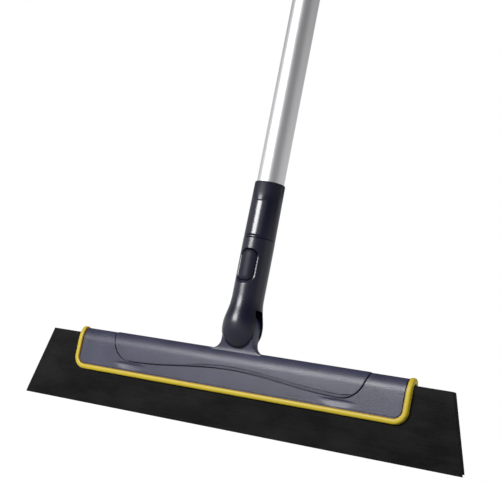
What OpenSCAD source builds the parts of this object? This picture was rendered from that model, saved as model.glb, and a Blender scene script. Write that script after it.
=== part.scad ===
// Floor squeegee: foam blade in a saddle head, a neck that swings from side to side on the head,
// a spring button that locks the handle into the neck, and a three-piece pole with a hanging loop.
// Millimetres. X runs along the blade, the front faces -Y, Z is up from the blade's working edge.

/* [Blade] */
// Length of the foam blade along its working edge
blade_w = 450; // [380:1:600]
// Length of the blade along its top edge
blade_top_w = 412; // [350:1:560]
// Height of the blade
blade_h = 64; // [54:0.5:90]
// Thickness of the blade
blade_t = 6.4; // [4.5:0.1:9]
// Width of the slit that parts the working edge into two lips
slit_w = 1.2; // [0.6:0.1:2]
// Depth of the slit
slit_h = 6; // [4:0.5:12]
// Thickness of the front lip
front_lip_t = 1.8; // [1.2:0.1:2.4]
// How much shorter the back lip is than the front one
lip_step = 2; // [0.5:0.1:3]

/* [Head] */
// Width of the head over its trim
head_w = 344; // [310:1:345]
// Height of the trim's lower edge above the floor
head_base_z = 30.5; // [22:0.5:32]
// Wall of the saddle on each side of the blade
head_wall = 2.8; // [2.4:0.1:5]
// Roof of the saddle over the blade
head_roof = 4.9; // [3:0.1:8]
// Room left round the blade in its channel
blade_gap = 0.1; // [0.05:0.05:0.3]
// Radius of the rolled top edges
roll_r = 5.2; // [2:0.1:5.5]
// Radius of the trim's lower corners
corner_r = 12; // [7:0.5:15]

/* [Trim] */
// Width of the trim seen from the front
trim_w = 4.2; // [2.5:0.1:6]
// Height of the trim above the saddle's surface
trim_proud = 0.7; // [0.3:0.1:1.2]

/* [Panel] */
// Width of the raised panel at the top of the head
panel_top_w = 264; // [200:1:300]
// Width of the panel across its lower corners
panel_low_w = 248; // [190:1:258]
// Depth of the panel's lower corners below the top of the head
panel_drop = 24.5; // [18:0.5:26]
// Rise of the panel's lower edge in the middle
panel_arch = 7.5; // [2:0.5:10]
// Radius of the panel's lower corners
panel_corner_r = 21; // [8:0.5:22]
// Height of the panel above the saddle's surface
panel_proud = 0.5; // [0.2:0.1:1]

/* [Blade screws] */
// Number of screws along the back
blade_screw_count = 4; // [2:1:4]
// Distance from one screw to the next
blade_screw_pitch = 90; // [60:1:95]
// Height of the screws above the trim's lower edge
blade_screw_rise = 10; // [9:0.5:12]
// Radius of the screw's shank
blade_screw_r = 1.5; // [1:0.1:1.8]
// Radius of the screw's head
blade_screw_head_r = 2.9; // [2.4:0.1:3.4]
// Height of the screw's head
blade_screw_head_h = 1.4; // [1:0.1:1.6]
// Depth of the thread in the front wall
blade_screw_bite = 1.8; // [1.2:0.1:2]

/* [Hinge] */
// Height of the hinge axis above the top of the head
hinge_rise = 18.8; // [18:0.1:24]
// Thickness of the tongue
tongue_t = 11; // [9:0.1:12]
// Half width of the tongue, and radius of its round top
tongue_r = 16; // [13.5:0.1:17]
// Radius of the flare at the tongue's foot
tongue_fillet = 10; // [4:0.1:10.4]
// Gap between the tongue and each cheek of the fork
cheek_gap = 0.5; // [0.3:0.05:0.8]
// Radius of the hinge bolt's shank
bolt_r = 3; // [2.5:0.1:3.5]
// Radius of the bolt's head
bolt_head_r = 5.5; // [4.8:0.1:6.5]
// Height of the bolt's head
bolt_head_h = 3; // [2:0.1:3.4]
// Depth of the hexagon socket in the bolt's head
bolt_socket_h = 1.6; // [1:0.1:1.8]
// Wall of the bush in the tongue
bush_wall = 2; // [1.5:0.1:3]
// Running room between the bolt and the bush
bush_run = 0.05; // [0.02:0.01:0.1]
// Radius of the friction washers
washer_r = 12; // [9:0.1:12.5]
// Thickness of the friction washers
washer_t = 1.2; // [1:0.1:1.6]
// Running room between a friction washer and its cheek
washer_run = 0.1; // [0.05:0.05:0.2]
// Wall of the brass insert in the front cheek
insert_wall = 1.5; // [1:0.1:2]
// Length of the brass insert
insert_len = 6; // [4:0.1:6.5]
// Thickness of the dished washer's sheet
dish_t = 0.6; // [0.4:0.1:0.7]
// Height of the dished washer
dish_h = 1; // [0.8:0.1:1.2]
// Thickness of the cap over the bolt's head
cap_t = 1.6; // [1.2:0.1:2]
// Room left round pressed-in pieces
press_gap = 0.03; // [0.02:0.01:0.06]

/* [Neck] */
// Radius of the neck
neck_r = 14.2; // [13.8:0.1:15]
// Length of the neck from the hinge axis to the joint with the sleeve
neck_len = 81.2; // [80:0.1:110]
// Radius of the fork's round end
bulb_r = 18; // [16.5:0.1:18.6]
// Height above the hinge axis at which the round end has run into the neck
bulb_blend = 33; // [26:0.5:36]
// Height of the slot's end above the hinge axis
slot_rise = 19; // [18:0.1:20]
// Bevel at the joint between neck and sleeve
seam_bevel = 0.5; // [0.2:0.1:0.8]

/* [Sleeve] */
// Length of the sleeve above the neck
sleeve_len = 51; // [48:0.5:70]
// Radius of the sleeve at the neck
sleeve_low_r = 14.1; // [13.7:0.1:14.8]
// Radius of the sleeve at its top
sleeve_top_r = 13.6; // [13.3:0.1:14.2]
// Thickness of the sleeve's floor, which the pole stands on
sleeve_floor = 5; // [3:0.5:8]
// Radius of the spigot that goes into the neck
spigot_r = 10.9; // [10.3:0.1:11.4]
// Wall of the spigot
spigot_wall = 2.2; // [1.8:0.1:2.4]
// Length of the spigot
spigot_len = 45; // [43.5:0.5:48]
// Room between the spigot and its socket
spigot_gap = 0.1; // [0.05:0.05:0.3]
// Width of the shallow recess on the sleeve's front
recess_w = 17; // [10:0.5:20]
// Height of the recess
recess_h = 30.5; // [20:0.5:31.5]
// Depth of the recess
recess_depth = 0.5; // [0.2:0.1:0.6]
// Distance from the sleeve's top to the recess
recess_drop = 17; // [11:0.5:18]
// Radius of the recess's corners
recess_r = 4; // [1:0.5:4.5]

/* [Sleeve screw] */
// Distance from the sleeve's top to the screw
sleeve_screw_drop = 5; // [4:0.1:8]
// Radius of the screw's shank
sleeve_screw_r = 1.3; // [1:0.1:1.6]
// Radius of the screw's head
sleeve_screw_head_r = 2.2; // [1.9:0.1:2.8]
// Height of the screw's head
sleeve_screw_head_h = 0.8; // [0.5:0.1:0.9]
// Length of the screw inside the pole
sleeve_screw_bite = 3; // [2:0.1:5]

/* [Button] */
// Width of the button
button_w = 15.8; // [12:0.1:16.2]
// Height of the button
button_h = 28.4; // [22:0.1:29]
// Distance from the neck's joint down to the button's middle
button_drop = 24.8; // [24.2:0.1:26]
// Height of the button's face above the neck's surface
button_proud = 0.3; // [0.1:0.1:0.8]
// Gap between the button and the neck's window
window_gap = 0.5; // [0.3:0.1:0.8]
// Gap between the button and the opening of the spigot
guide_gap = 0.3; // [0.2:0.05:0.5]
// Width of the recessed rim round the window
rim_w = 0.6; // [0.3:0.1:0.9]
// Depth of the recessed rim
rim_depth = 0.6; // [0.3:0.1:0.9]
// Reach of the two lugs that keep the button in
lug_reach = 2.4; // [1.5:0.1:3]
// Half width of the lugs
lug_half_w = 3; // [2:0.1:3.5]
// Thickness of the lugs
lug_t = 2; // [1.2:0.1:2.4]

/* [Button spring] */
// Radius of the spring to the middle of its wire
spring_r = 3.4; // [2.6:0.1:3.8]
// Radius of the spring's wire
spring_wire_r = 0.45; // [0.3:0.05:0.5]
// Number of turns
spring_turns = 6; // [4:1:7]
// Depth of the spring's pocket in the button
spring_pocket = 1.5; // [1:0.1:2]
// Room at the ends and round the outside of the spring
spring_gap = 0.3; // [0.2:0.05:0.5]

/* [Pole] */
// Radius of the pole
pole_r = 12.3; // [11.8:0.1:12.5]
// Wall of the tubes
pole_wall = 0.8; // [0.5:0.1:1.2]
// Length of the lower tube
pole_lower_len = 298; // [200:1:400]
// Length of the middle tube
pole_middle_len = 370; // [200:1:500]
// Length of the upper tube
pole_upper_len = 396; // [250:1:500]
// Room between the pole and what is pushed over it
pole_gap = 0.03; // [0.02:0.01:0.06]

/* [Pole joints] */
// Thickness of the ring that shows at each joint
joint_ring = 2; // [1:0.5:4]
// Length of the inserts inside the tubes
joint_plug_len = 30; // [26:1:40]
// Radius of the screwed stud
stud_r = 6.5; // [5:0.1:8]
// Length of the screwed stud
stud_len = 22; // [15:1:24]
// Room between the stud and its socket
stud_gap = 0.1; // [0.05:0.05:0.3]

/* [Grip] */
// Radius of the grip
grip_r = 14.5; // [13.5:0.1:16]
// Length of the grip
grip_len = 142; // [100:1:180]
// Thickness of the grip's closed end
grip_end = 5.5; // [4:0.5:10]
// Radius of the grip's rounded ends
grip_round = 2; // [0.8:0.1:2.2]

/* [Hanging loop] */
// Width of the loop
loop_w = 31; // [26:0.5:34]
// Height of the loop above the grip
loop_h = 41; // [38:0.5:55]
// Thickness of the loop
loop_t = 9; // [6:0.5:12]
// Width of the eye
eye_w = 16.7; // [12:0.1:18]
// Height of the eye
eye_h = 25.5; // [20:0.1:27]
// Height of the eye's lower end above the grip
eye_rise = 7; // [5:0.5:8]
// Radius of the round collar at the loop's foot
collar_r = 14; // [12:0.1:14.5]
// Height of the collar
collar_h = 2.5; // [1.5:0.1:4]
// Radius of the loop's stem
stem_r = 5; // [4:0.1:6]
// Length of the stem inside the end plug
stem_len = 18; // [12:1:24]
// Length of the end plug
end_plug_len = 26; // [25:1:34]

/* [Hidden] */
$fn = 64;
small = 0.02;
curve_sides = 720;
ball_sides = 200;
corner_steps = 8;
arch_steps = 24;
spring_sides = 6;
spring_rings = 8;

// Head heights and half depths
head_top = blade_h + blade_gap + head_roof;
channel_half = blade_t / 2 + blade_gap;
saddle_half = channel_half + head_wall;
trim_half = saddle_half + trim_proud;
panel_half = saddle_half + panel_proud;
screw_z = head_base_z + blade_screw_rise;

// Hinge, from the tongue's middle outwards
hinge_z = head_top + hinge_rise;
slot_half = tongue_t / 2 + cheek_gap;
pocket_r = bolt_head_r + press_gap;
bush_r = bolt_r + bush_run + bush_wall;
washer_seat = washer_t - cheek_gap + washer_run;
insert_r = bolt_r + press_gap + insert_wall;
cheek_face = sqrt(bulb_r * bulb_r - pocket_r * pocket_r);
cap_y = cheek_face - cap_t;
bolt_head_y = cap_y - bolt_head_h - press_gap;
dish_y = bolt_head_y - dish_h;

// Neck and sleeve
seam_z = hinge_z + neck_len;
socket_r = spigot_r + spigot_gap;
socket_floor_z = seam_z - spigot_len - spigot_gap;
spigot_bore_r = spigot_r - spigot_wall;
sleeve_top_z = seam_z + sleeve_len;
recess_z = sleeve_top_z - recess_drop - recess_h / 2;
sleeve_screw_z = sleeve_top_z - sleeve_screw_drop;
sleeve_at_screw = sleeve_top_r + (sleeve_low_r - sleeve_top_r) * sleeve_screw_drop / sleeve_len;

// Button
button_z = seam_z - button_drop;
button_face_r = neck_r + button_proud;
lug_front = sqrt(spigot_bore_r * spigot_bore_r - lug_half_w * lug_half_w) - guide_gap;
button_back = lug_front - lug_t;
spring_front = button_back + spring_pocket;
spring_back = sqrt(spigot_bore_r * spigot_bore_r - pow(spring_r + spring_wire_r, 2));
spring_len = spring_front + spring_back - 2 * spring_gap;

// Pole, grip and loop
pole_bore_r = pole_r - pole_wall;
plug_r = pole_bore_r - press_gap;
pole_z = seam_z + sleeve_floor;
lower_joint_z = pole_z + pole_lower_len;
upper_joint_z = lower_joint_z + joint_ring + pole_middle_len;
pole_top_z = upper_joint_z + joint_ring + pole_upper_len;
grip_top_z = pole_top_z + grip_end;
loop_bend = loop_w / 2;
eye_bend = eye_w / 2;

navy = "#34353f";
yellow = "#e3c72e";
foam = "#1b1b1c";
silver = "#c9cacd";
steel = "#9a9ca0";
brass = "#b08d4a";
nylon = "#d8d6cc";

// Solid that fills a front-view outline from the front to the back
module along_y(depth) {
    rotate([90, 0, 0])
        linear_extrude(depth, center = true)
            children();
}

// Solid that follows a side-view section along the blade; the section is drawn as depth and height
module along_x(width) {
    rotate([90, 0, 90])
        linear_extrude(width, center = true)
            children();
}

// Cylinder along Y between two depths, at the hinge's height
module hinge_round(r, y0, y1) {
    translate([0, y1, hinge_z])
        rotate([90, 0, 0])
            cylinder(r = r, h = y1 - y0);
}

// Upright slot with round ends, centred
module obround(w, h) {
    square([w, h - w], center = true);
    for (s = [-1, 1])
        translate([0, s * (h - w) / 2])
            circle(d = w);
}

module round_square(w, h, r) {
    square([w - 2 * r, h], center = true);
    square([w, h - 2 * r], center = true);
    for (x = [-1, 1], y = [-1, 1])
        translate([x * (w / 2 - r), y * (h / 2 - r)])
            circle(r);
}

// Front view of the head with round lower corners, open upwards
module head_outline(half_w, base_z, r) {
    translate([-half_w, base_z + r])
        square([2 * half_w, head_top]);
    translate([-half_w + r, base_z])
        square([2 * (half_w - r), head_top]);
    for (s = [-1, 1])
        translate([s * (half_w - r), base_z + r])
            circle(r);
}

module outer_outline() {
    head_outline(head_w / 2, head_base_z, corner_r);
}

module inner_outline() {
    head_outline(head_w / 2 - trim_w, head_base_z + trim_w, corner_r - trim_w);
}

// Side section of the head with both top edges rolled
module rolled_section(half, top) {
    r = min(roll_r, half - small);
    translate([-half, 0])
        square([2 * half, top - r]);
    translate([-half + r, 0])
        square([2 * (half - r), top]);
    for (s = [-1, 1])
        translate([s * (half - r), top - r])
            circle(r);
}

module blade_channel() {
    translate([-channel_half, -blade_gap])
        square([2 * channel_half, blade_h + 2 * blade_gap]);
}

// Lower corner of the panel on the right, rounded between its side and its lower edge
panel_lean = atan2((panel_top_w - panel_low_w) / 2, panel_drop);
panel_low_z = head_top - panel_drop;
panel_turn = 90 - panel_lean;
panel_set_back = panel_corner_r * tan(panel_turn / 2);
function panel_corner(s) = [for (i = [0 : corner_steps])
    let (a = -90 + panel_turn * (s > 0 ? i : corner_steps - i) / corner_steps)
    [s * (panel_low_w / 2 - panel_set_back + panel_corner_r * cos(a)),
        panel_low_z + panel_corner_r + panel_corner_r * sin(a)]];
panel_flat = panel_low_w / 2 - panel_set_back;
function panel_edge() = [for (i = [1 : arch_steps - 1])
    let (x = panel_flat * (2 * i / arch_steps - 1))
    [x, panel_low_z + panel_arch * (1 + cos(180 * x / panel_flat)) / 2]];

module panel_outline() {
    polygon(concat(panel_corner(-1), panel_edge(), panel_corner(1),
        [[panel_top_w / 2, head_top], [panel_top_w / 2, head_top + head_roof],
            [-panel_top_w / 2, head_top + head_roof], [-panel_top_w / 2, head_top]]));
}

// Tongue seen from the front, with a flared foot that goes down to the blade's channel
module tongue_outline() {
    foot_z = blade_h + 2 * blade_gap;
    foot_half = tongue_r + tongue_fillet;
    translate([0, hinge_z])
        circle(tongue_r);
    translate([-tongue_r, foot_z])
        square([2 * tongue_r, hinge_z - foot_z]);
    difference() {
        translate([-foot_half, foot_z])
            square([2 * foot_half, head_top + tongue_fillet - foot_z]);
        for (s = [-1, 1])
            translate([s * foot_half, head_top + tongue_fillet])
                circle(tongue_fillet);
    }
}

module screw_places() {
    for (i = [0 : blade_screw_count - 1])
        translate([(i - (blade_screw_count - 1) / 2) * blade_screw_pitch, 0, screw_z])
            children();
}

// Screw from the back of the head, with room added all round for its hole
module blade_screw(room) {
    tip = channel_half + blade_screw_bite;
    translate([0, saddle_half, 0])
        rotate([90, 0, 0]) {
            cylinder(r = blade_screw_head_r + room, h = blade_screw_head_h);
            cylinder(r = blade_screw_r + room, h = saddle_half + tip + room);
        }
}

module blade() {
    color(foam)
        difference() {
            along_y(blade_t)
                polygon([[-blade_w / 2, 0], [blade_w / 2, 0], [blade_top_w / 2, blade_h],
                    [-blade_top_w / 2, blade_h]]);
            along_x(blade_w + blade_t)
                translate([front_lip_t - blade_t / 2, 0]) {
                    translate([0, -slit_h])
                        square([slit_w, 2 * slit_h]);
                    translate([0, -lip_step])
                        square([blade_t, 2 * lip_step]);
                }
            screw_places()
                blade_screw(blade_gap);
        }
}

module head_shell() {
    color(navy)
        difference() {
            union() {
                intersection() {
                    along_y(4 * saddle_half)
                        inner_outline();
                    along_x(head_w)
                        rolled_section(saddle_half, head_top);
                }
                intersection() {
                    along_y(4 * saddle_half)
                        panel_outline();
                    along_x(head_w)
                        rolled_section(panel_half, head_top);
                }
                along_y(tongue_t)
                    tongue_outline();
            }
            along_x(head_w + head_wall)
                blade_channel();
            screw_places()
                blade_screw(press_gap);
            screw_places()
                translate([0, panel_half + small, 0])
                    rotate([90, 0, 0])
                        cylinder(r = blade_screw_head_r + press_gap, h = panel_proud + 2 * small);
            hinge_round(bush_r + press_gap, -tongue_t, tongue_t);
            for (s = [-1, 1])
                hinge_round(washer_r + press_gap, min(s * tongue_t, s * (tongue_t / 2 - washer_seat)),
                    max(s * tongue_t, s * (tongue_t / 2 - washer_seat)));
        }
}

module edge_trim() {
    color(yellow)
        difference() {
            intersection() {
                along_y(4 * trim_half)
                    difference() {
                        outer_outline();
                        inner_outline();
                    }
                along_x(head_w)
                    rolled_section(trim_half, head_top + trim_proud);
            }
            along_x(head_w + head_wall)
                blade_channel();
        }
}

module blade_screws() {
    slot_w = blade_screw_head_r / 4;
    slot_h = blade_screw_head_h / 2;
    color(steel)
        screw_places()
            difference() {
                blade_screw(0);
                for (turn = [0, 90])
                    translate([0, saddle_half, 0])
                        rotate([0, turn, 0])
                            cube([1.3 * blade_screw_head_r, 2 * slot_h, slot_w], center = true);
            }
}

module hinge_bush() {
    color(nylon)
        difference() {
            hinge_round(bush_r, -tongue_t / 2, tongue_t / 2);
            hinge_round(bolt_r + bush_run, -tongue_t, tongue_t);
        }
}

module friction_washers() {
    seat_y = tongue_t / 2 - washer_seat;
    color(nylon)
        for (s = [-1, 1])
            difference() {
                hinge_round(washer_r, min(s * seat_y, s * (seat_y + washer_t)),
                    max(s * seat_y, s * (seat_y + washer_t)));
                hinge_round(bush_r + 2 * press_gap, -tongue_t, tongue_t);
            }
}

// Half section of the neck: round end, hollow curve that runs it into the neck, straight part and bevel
module neck_section() {
    curve_r = (pow(bulb_blend, 2) - pow(bulb_r, 2) + pow(neck_r, 2)) / (2 * (bulb_r - neck_r));
    meet_z = bulb_r * bulb_blend / (bulb_r + curve_r);
    intersection() {
        circle(bulb_r);
        translate([0, -bulb_r])
            square([bulb_r, 2 * bulb_r]);
    }
    difference() {
        translate([0, meet_z])
            square([bulb_r, bulb_blend - meet_z]);
        translate([neck_r + curve_r, bulb_blend])
            circle(curve_r, $fn = curve_sides);
    }
    polygon([[0, 0], [neck_r, 0], [neck_r, neck_len - seam_bevel], [neck_r - seam_bevel, neck_len],
        [0, neck_len]]);
}

module neck_fork() {
    window_w = button_w + 2 * window_gap;
    window_h = button_h + 2 * window_gap;
    color(navy)
        difference() {
            translate([0, 0, hinge_z])
                rotate_extrude()
                    neck_section();
            translate([-2 * bulb_r, -slot_half, hinge_z - 2 * bulb_r])
                cube([4 * bulb_r, 2 * slot_half, 2 * bulb_r + slot_rise]);
            translate([0, 0, socket_floor_z])
                cylinder(r = socket_r, h = spigot_len + 2 * spigot_gap);
            translate([0, -neck_r, button_z])
                along_y(2 * neck_r)
                    obround(window_w, window_h);
            intersection() {
                translate([0, -neck_r, button_z])
                    along_y(2 * neck_r)
                        obround(window_w + 2 * rim_w, window_h + 2 * rim_w);
                translate([0, 0, button_z - window_h])
                    difference() {
                        cylinder(r = 2 * neck_r, h = 2 * window_h);
                        cylinder(r = neck_r - rim_depth, h = 2 * window_h);
                    }
            }
            hinge_round(bolt_r + press_gap, 0, bulb_r);
            hinge_round(pocket_r, dish_y, 2 * bulb_r);
            hinge_round(insert_r + press_gap, -slot_half - insert_len - press_gap, 0);
        }
}

module hinge_bolt() {
    color(steel)
        difference() {
            union() {
                hinge_round(bolt_head_r, bolt_head_y, bolt_head_y + bolt_head_h);
                hinge_round(bolt_r, -slot_half - insert_len, bolt_head_y + bolt_head_h / 2);
            }
            translate([0, bolt_head_y + bolt_head_h, hinge_z])
                rotate([90, 0, 0])
                    cylinder(r = bolt_r, h = 2 * bolt_socket_h, center = true, $fn = 6);
        }
}

module hinge_insert() {
    color(brass)
        difference() {
            hinge_round(insert_r, -slot_half - insert_len, -slot_half);
            hinge_round(bolt_r + press_gap, -bulb_r, 0);
        }
}

module spring_washer() {
    inner_r = bolt_r + 4 * press_gap;
    color(steel)
        translate([0, dish_y, hinge_z])
            rotate([-90, 0, 0])
                rotate_extrude()
                    polygon([[inner_r, dish_h - dish_t], [bolt_head_r - press_gap, 0],
                        [bolt_head_r - press_gap, dish_t], [inner_r, dish_h]]);
}

module hinge_cap() {
    color(navy)
        intersection() {
            hinge_round(bolt_head_r, cap_y, 2 * bulb_r);
            translate([0, 0, hinge_z])
                sphere(bulb_r, $fn = ball_sides);
        }
}

module sleeve() {
    spigot_floor_z = seam_z - spigot_len;
    color(navy)
        difference() {
            union() {
                translate([0, 0, seam_z])
                    cylinder(r1 = sleeve_low_r - seam_bevel, r2 = sleeve_low_r, h = seam_bevel);
                translate([0, 0, seam_z + seam_bevel])
                    cylinder(r1 = sleeve_low_r, r2 = sleeve_top_r, h = sleeve_len - 2 * seam_bevel);
                translate([0, 0, sleeve_top_z - seam_bevel])
                    cylinder(r1 = sleeve_top_r, r2 = sleeve_top_r - seam_bevel, h = seam_bevel);
                translate([0, 0, spigot_floor_z])
                    cylinder(r = spigot_r, h = spigot_len + sleeve_floor / 2);
            }
            translate([0, 0, spigot_floor_z - spigot_gap])
                cylinder(r = spigot_bore_r, h = spigot_len + 2 * sleeve_floor);
            translate([0, 0, pole_z])
                cylinder(r = pole_r + pole_gap, h = 2 * sleeve_len);
            translate([0, -spigot_r, button_z])
                along_y(2 * spigot_r)
                    obround(button_w + 2 * guide_gap, button_h + 2 * guide_gap);
            intersection() {
                translate([0, -neck_r, recess_z])
                    along_y(2 * neck_r)
                        round_square(recess_w, recess_h, recess_r);
                translate([0, 0, seam_z])
                    difference() {
                        cylinder(r = 2 * neck_r, h = sleeve_len);
                        cylinder(r1 = sleeve_low_r - recess_depth, r2 = sleeve_top_r - recess_depth,
                            h = sleeve_len);
                    }
            }
            screw_in_sleeve(press_gap);
        }
}

// Screw on the right of the sleeve, with room added all round for its hole
module screw_in_sleeve(room) {
    head_x = sleeve_at_screw - seam_bevel;
    translate([head_x, 0, sleeve_screw_z])
        rotate([0, -90, 0]) {
            translate([0, 0, room > 0 ? -sleeve_screw_head_h : 0])
                cylinder(r = sleeve_screw_head_r + room, h = sleeve_screw_head_h * (room > 0 ? 2 : 1));
            cylinder(r = sleeve_screw_r + room, h = head_x - pole_bore_r + sleeve_screw_bite + room);
        }
}

module sleeve_screw() {
    slot_w = sleeve_screw_head_r / 4;
    head_x = sleeve_at_screw - seam_bevel;
    color(steel)
        difference() {
            screw_in_sleeve(0);
            translate([head_x, 0, sleeve_screw_z])
                for (turn = [0, 90])
                    rotate([turn, 0, 0])
                        cube([sleeve_screw_head_h, 1.3 * sleeve_screw_head_r, slot_w], center = true);
        }
}

module release_button() {
    lug_h = button_h + 2 * lug_reach;
    spring_room_r = spring_r + spring_wire_r + spring_gap;
    color(navy)
        difference() {
            union() {
                intersection() {
                    translate([0, -button_back - neck_r, button_z])
                        along_y(2 * neck_r)
                            obround(button_w, button_h);
                    translate([0, 0, button_z - button_h])
                        cylinder(r = button_face_r, h = 2 * button_h);
                }
                translate([-lug_half_w, -lug_front, button_z - lug_h / 2])
                    cube([2 * lug_half_w, lug_t, lug_h]);
            }
            translate([0, -button_back, button_z])
                rotate([90, 0, 0])
                    cylinder(r = spring_room_r, h = 2 * spring_pocket, center = true);
        }
}

// Coil along +Z, from the middle of its wire's first ring to the last
function coil_points(rise) = [for (i = [0 : spring_turns * spring_rings], j = [0 : spring_sides - 1])
    let (a = 360 * i / spring_rings)
    let (b = 360 * j / spring_sides)
    let (r = spring_r + spring_wire_r * cos(b))
    [r * cos(a), r * sin(a), rise * i / (spring_turns * spring_rings) + spring_wire_r * sin(b)]];
function coil_corner(i, j) = i * spring_sides + j % spring_sides;
function coil_sides() = [for (i = [0 : spring_turns * spring_rings - 1], j = [0 : spring_sides - 1],
    k = [0, 1])
    k == 0 ? [coil_corner(i, j), coil_corner(i, j + 1), coil_corner(i + 1, j)]
        : [coil_corner(i, j + 1), coil_corner(i + 1, j + 1), coil_corner(i + 1, j)]];
function coil_end(i, flip) = [for (j = [1 : spring_sides - 2])
    flip ? [coil_corner(i, 0), coil_corner(i, j + 1), coil_corner(i, j)]
        : [coil_corner(i, 0), coil_corner(i, j), coil_corner(i, j + 1)]];

module button_spring() {
    rise = spring_len - 2 * spring_wire_r;
    last = spring_turns * spring_rings;
    color(steel)
        translate([0, -spring_front + spring_gap + spring_wire_r, button_z])
            rotate([-90, 0, 0])
                polyhedron(coil_points(rise),
                    concat(coil_sides(), coil_end(0, true), coil_end(last, false)));
}

module tube(z, len) {
    color(silver)
        translate([0, 0, z])
            difference() {
                cylinder(r = pole_r, h = len);
                translate([0, 0, -len / 2])
                    cylinder(r = pole_bore_r, h = 2 * len);
            }
}

module pole_lower() {
    difference() {
        tube(pole_z, pole_lower_len);
        screw_in_sleeve(press_gap);
    }
}

module pole_middle() {
    tube(lower_joint_z + joint_ring, pole_middle_len);
}

module pole_upper() {
    tube(upper_joint_z + joint_ring, pole_upper_len);
}

// Insert in the top of a tube: plug, ring that shows and screwed stud
module joint_stud(z) {
    color(navy)
        translate([0, 0, z]) {
            translate([0, 0, -joint_plug_len])
                cylinder(r = plug_r, h = joint_plug_len + joint_ring / 2);
            cylinder(r = pole_r, h = joint_ring);
            cylinder(r = stud_r, h = joint_ring + stud_len);
        }
}

// Insert in the foot of the next tube, which the stud screws into
module joint_socket(z) {
    color(navy)
        translate([0, 0, z + joint_ring])
            difference() {
                cylinder(r = plug_r, h = joint_plug_len);
                translate([0, 0, -stud_gap])
                    cylinder(r = stud_r + stud_gap, h = stud_len + 3 * stud_gap);
            }
}

module lower_joint_stud() {
    joint_stud(lower_joint_z);
}

module lower_joint_socket() {
    joint_socket(lower_joint_z);
}

module upper_joint_stud() {
    joint_stud(upper_joint_z);
}

module upper_joint_socket() {
    joint_socket(upper_joint_z);
}

module end_plug() {
    color(navy)
        translate([0, 0, pole_top_z - end_plug_len])
            difference() {
                cylinder(r = plug_r, h = end_plug_len);
                translate([0, 0, end_plug_len - stem_len - stud_gap])
                    cylinder(r = stem_r + press_gap, h = 2 * stem_len);
            }
}

// Half section of the grip, with both outer edges rounded
module grip_section() {
    translate([0, grip_round])
        square([grip_r, grip_len - 2 * grip_round]);
    square([grip_r - grip_round, grip_len]);
    for (y = [grip_round, grip_len - grip_round])
        translate([grip_r - grip_round, y])
            circle(grip_round);
}

module grip() {
    color(navy)
        translate([0, 0, grip_top_z - grip_len])
            difference() {
                rotate_extrude()
                    grip_section();
                translate([0, 0, -grip_end])
                    cylinder(r = pole_r + pole_gap, h = grip_len);
                cylinder(r = stem_r + press_gap, h = 2 * grip_len);
            }
}

module hang_loop() {
    eye_low = eye_rise + eye_bend;
    eye_high = eye_rise + eye_h - eye_bend;
    color(yellow)
        translate([0, 0, grip_top_z]) {
            along_y(loop_t)
                difference() {
                    union() {
                        translate([0, loop_h - loop_bend])
                            circle(loop_bend);
                        translate([-loop_bend, 0])
                            square([loop_w, loop_h - loop_bend]);
                    }
                    translate([-eye_bend, eye_low])
                        square([eye_w, eye_high - eye_low]);
                    for (z = [eye_low, eye_high])
                        translate([0, z])
                            circle(eye_bend);
                }
            cylinder(r = collar_r, h = collar_h);
            translate([0, 0, -grip_end - stem_len])
                cylinder(r = stem_r, h = grip_end + stem_len + collar_h / 2);
        }
}

blade();
head_shell();
edge_trim();
blade_screws();
hinge_bush();
friction_washers();
neck_fork();
hinge_bolt();
hinge_insert();
spring_washer();
hinge_cap();
sleeve();
sleeve_screw();
release_button();
button_spring();
pole_lower();
pole_middle();
pole_upper();
lower_joint_stud();
lower_joint_socket();
upper_joint_stud();
upper_joint_socket();
end_plug();
grip();
hang_loop();
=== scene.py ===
import math

import bmesh
import bpy
import numpy as np
from mathutils import Matrix, Vector


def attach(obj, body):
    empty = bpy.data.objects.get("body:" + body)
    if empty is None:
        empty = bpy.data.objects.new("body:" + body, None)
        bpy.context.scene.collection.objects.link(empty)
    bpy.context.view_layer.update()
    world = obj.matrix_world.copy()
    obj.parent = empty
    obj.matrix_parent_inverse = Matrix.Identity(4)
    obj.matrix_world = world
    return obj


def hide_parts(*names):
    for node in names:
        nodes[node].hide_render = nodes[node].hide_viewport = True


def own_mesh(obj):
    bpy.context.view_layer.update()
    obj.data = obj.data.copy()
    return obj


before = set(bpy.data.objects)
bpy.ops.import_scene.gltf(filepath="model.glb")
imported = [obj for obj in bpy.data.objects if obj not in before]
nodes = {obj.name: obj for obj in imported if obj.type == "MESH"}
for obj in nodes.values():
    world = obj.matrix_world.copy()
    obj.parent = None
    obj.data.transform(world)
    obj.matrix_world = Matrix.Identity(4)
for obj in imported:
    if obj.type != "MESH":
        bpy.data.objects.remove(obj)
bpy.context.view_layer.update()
scene = bpy.context.scene
print("frame loaded:", len(nodes), "nodes")

# camera at the photo's place: low, from the front right, rolled a little
cameraSet = {
    "place": (0.6045, -0.9552, 0.0061),
    "right": (0.8401, 0.5079, 0.1905),
    "down": (0.0910, 0.2143, -0.9725),
    "lens": 93.06,
    "sensor": 36.0,
    "clip": (0.02, 50.0),
}


def addCamera():
    right = Vector(cameraSet["right"]).normalized()
    up = -Vector(cameraSet["down"])
    up = (up - right * up.dot(right)).normalized()
    turn = Matrix((right, up, right.cross(up))).transposed().to_4x4()
    data = bpy.data.cameras.new("photoCamera")
    data.lens, data.sensor_width = cameraSet["lens"], cameraSet["sensor"]
    data.clip_start, data.clip_end = cameraSet["clip"]
    camera = bpy.data.objects.new("photoCamera", data)
    camera.matrix_world = Matrix.Translation(cameraSet["place"]) @ turn
    scene.collection.objects.link(camera)
    scene.camera = camera


addCamera()
print("camera set")

# shape helpers; shapes are drawn in millimetres and scaled once when a piece is made


def ring(bm, points):
    verts = [bm.verts.new(p) for p in points]
    return [bm.edges.new((verts[i - 1], verts[i])) for i in range(len(verts))]


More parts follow.
